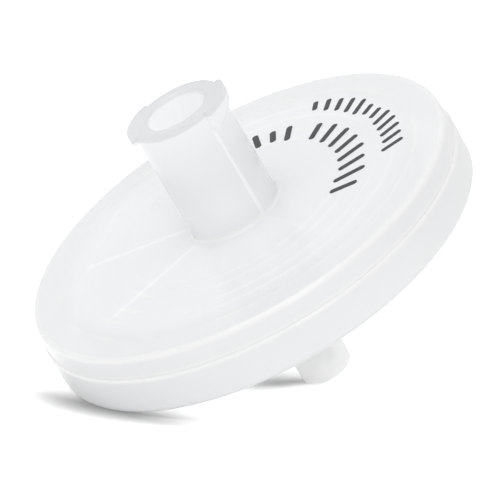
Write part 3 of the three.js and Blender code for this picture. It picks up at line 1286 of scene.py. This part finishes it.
@dataclass
class PrintedMarks:
    """The print on the plate: two rows of plain slanted dashes."""

    stack: Stack
    name: str = "printed_marks"
    thickness: float = 0.02
    sunk: float = 0.01
    first_seed: int = 3
    end_share: float = 0.495
    end_points: int = 6
    rows: tuple[MarkRow, ...] = (
        MarkRow("outer_dashes", 12, 12.5, 8, 69, 1.9, 0.42, 24, 0.45),
        MarkRow("inner_pair", 3, 9.3, 73, 90, 2.2, 0.5, 20, 0.3),
        MarkRow("inner_dashes", 8, 9.3, -12, 56, 2.5, 0.5, 20, 0.3),
    )

    def _tree(self) -> FormTree:
        """The tree that lays rounded dashes along an arc."""
        form = FormTree("dashes_on_an_arc")
        form.declare(
            count=("Int", 9),
            radius=("Float", 10.0),
            first=("Float", 0.0),
            last=("Float", 1.0),
            length=("Float", 2.0),
            width=("Float", 0.4),
            slant=("Float", 0.0),
            spread=("Float", 0.0),
            seed=("Int", 1),
            level=("Float", 0.0),
            thickness=("Float", 0.03),
            material=("Material", None),
        )
        width = form.given("width")
        inputs = {"Width": form.given("length"), "Height": width}
        outline = form.out("GeometryNodeCurvePrimitiveQuadrilateral", {}, inputs)
        end = form.math("MULTIPLY", width, self.end_share)
        inputs = {"Curve": outline, "Radius": end, "Count": self.end_points, "Limit Radius": True}
        capsule = form.out("GeometryNodeFilletCurve", {"mode": "POLY"}, inputs)
        dash = form.raised(capsule, form.given("thickness"))
        points = form.out("GeometryNodePoints", {}, {"Count": form.given("count")})
        index = form.out("GeometryNodeInputIndex", {}, {})
        steps = form.math("SUBTRACT", form.given("count"), 1.0)
        share = form.math("DIVIDE", index, steps)
        span = form.math("SUBTRACT", form.given("last"), form.given("first"))
        angle = form.math("ADD", form.given("first"), form.math("MULTIPLY", span, share))
        x = form.math("MULTIPLY", form.given("radius"), form.math("COSINE", angle))
        y = form.math("MULTIPLY", form.given("radius"), form.math("SINE", angle))
        place = form.vector(x=x, y=y, z=form.given("level"))
        placed = form.out("GeometryNodeSetPosition", {}, {"Geometry": points, "Position": place})
        shortest = form.math("SUBTRACT", 1.0, form.given("spread"))
        inputs = {2: shortest, 3: 1.0, "Seed": form.given("seed")}
        chance = form.node("FunctionNodeRandomValue", {"data_type": "FLOAT"}, inputs)
        size = form.vector(x=chance.outputs[1], y=1.0, z=1.0)
        turn = form.vector(z=form.math("ADD", angle, form.given("slant")))
        inputs = {"Points": placed, "Instance": dash, "Rotation": turn, "Scale": size}
        form.finish(form.out("GeometryNodeInstanceOnPoints", {}, inputs))
        return form

    def build(self, material: bpy.types.Material) -> bpy.types.Object:
        """Makes all the marks as one mesh, in the filter's own frame.

        Args:
            material: the ink.

        Returns:
            The marks.
        """
        tree = self._tree()
        form = bmesh.new()
        for seed, row in enumerate(self.rows):
            part = tree.grow(
                row.name,
                count=row.count,
                radius=row.radius,
                first=math.radians(row.first),
                last=math.radians(row.last),
                length=row.length,
                width=row.width,
                slant=math.radians(row.slant),
                spread=row.spread,
                seed=seed + self.first_seed,
                level=self.stack.top - self.sunk,
                thickness=self.sunk + self.thickness,
                material=material,
            )
            form.from_mesh(part.data)
            bpy.data.objects.remove(part)
        marks = closed(self.name, form)
        marks.data.materials.append(material)
        return marks


# ---------------------------------------------------------------- studio


@dataclass(frozen=True)
class SoftLamp:
    """A large soft lamp that faces the filter."""

    name: str
    azimuth: float
    elevation: float
    distance: float
    size: float
    power: float

    def hang(self, target: Vector) -> None:
        """Puts the lamp in the scene, aimed at a point."""
        lamp = bpy.data.lights.new(self.name, "AREA")
        lamp.shape = "DISK"
        lamp.size = self.size
        lamp.energy = self.power
        made = bpy.data.objects.new(self.name, lamp)
        around, up = math.radians(self.azimuth), math.radians(self.elevation)
        out = Vector((math.cos(around) * math.cos(up), math.sin(around) * math.cos(up), math.sin(up)))
        made.location = target + out * self.distance
        made.rotation_euler = out.to_track_quat("Z", "Y").to_euler()
        made.visible_camera = False
        bpy.context.scene.collection.objects.link(made)


@dataclass
class Studio:
    """Table, plain surroundings, soft lamps and the camera."""

    plain: float = 0.8
    backdrop: float = 1.0
    table_side: float = 4.0
    aim: Vector = field(default_factory=lambda: Vector((0.000433, 0.000704, 0.010144)))
    forward: Vector = field(default_factory=lambda: Vector((0.584323, 0.801813, -0.125148)))
    distance: float = 0.2525
    lens: float = 252.36
    sensor: float = 36.0
    lamps: tuple[SoftLamp, ...] = (
        SoftLamp("along_axis", 185, 55, 0.6, 0.4, 0.6),
        SoftLamp("front", -122, 14, 0.6, 0.2, 0.35),
    )

    def _surroundings(self) -> None:
        """Plain light from all round, and white to direct, mirrored and refracted views."""
        world = bpy.data.worlds.new("surroundings")
        bpy.context.scene.world = world
        graph = ShaderGraph(world)
        seen = graph.seen()
        level = (1 - seen) * self.plain + seen * self.backdrop
        surface = graph.node("ShaderNodeBackground", {}, {"Color": grey(1.0), "Strength": level}).outputs[0]
        graph.finish(surface, "ShaderNodeOutputWorld")

    def _table(self) -> None:
        """The table top under the filter."""
        half = self.table_side / 2
        mesh = bpy.data.meshes.new("table")
        corners = [(-half, -half, 0), (half, -half, 0), (half, half, 0), (-half, half, 0)]
        mesh.from_pydata(corners, [], [(0, 1, 2, 3)])
        mesh.materials.append(Table().material())
        new_object("table", mesh)

    def _camera(self) -> None:
        """The camera, level and aimed at the filter."""
        lens = bpy.data.cameras.new("camera")
        lens.lens = self.lens
        lens.sensor_width = self.sensor
        lens.clip_start = 0.01
        made = bpy.data.objects.new("camera", lens)
        made.location = self.aim - self.forward.normalized() * self.distance
        made.rotation_euler = self.forward.to_track_quat("-Z", "Y").to_euler()
        bpy.context.scene.collection.objects.link(made)
        bpy.context.scene.camera = made

    def build(self) -> None:
        """Sets up everything round the filter."""
        bpy.context.scene.view_settings.view_transform = "Standard"
        self._surroundings()
        self._table()
        for lamp in self.lamps:
            lamp.hang(self.aim)
        self._camera()


def main() -> None:
    """Builds the filter round the frame, then the studio."""
    logging.basicConfig(level=logging.INFO, format="%(name)s: %(message)s")
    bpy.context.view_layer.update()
    pose = Pose.from_record(frame["record"], -Stack.tip, SPIN)
    finish = (pose.origin, pose.upright)
    stack = Stack()
    housing = pose.settle(Housing(stack).build(Polypropylene().material(*finish)))
    sheet = pose.settle(MembraneSheet(stack).build(PorousSheet().material(*finish)))
    marks = pose.settle(PrintedMarks(stack).build(PadInk().material(*finish)))

    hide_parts("inlet_housing", "outlet_housing")
    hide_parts("membrane")
    for piece, slot in ((housing, "clear_housing"), (sheet, "membrane"), (marks, "ink")):
        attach(piece, "root")

    Studio().build()


if __name__ == "__main__":
    main()
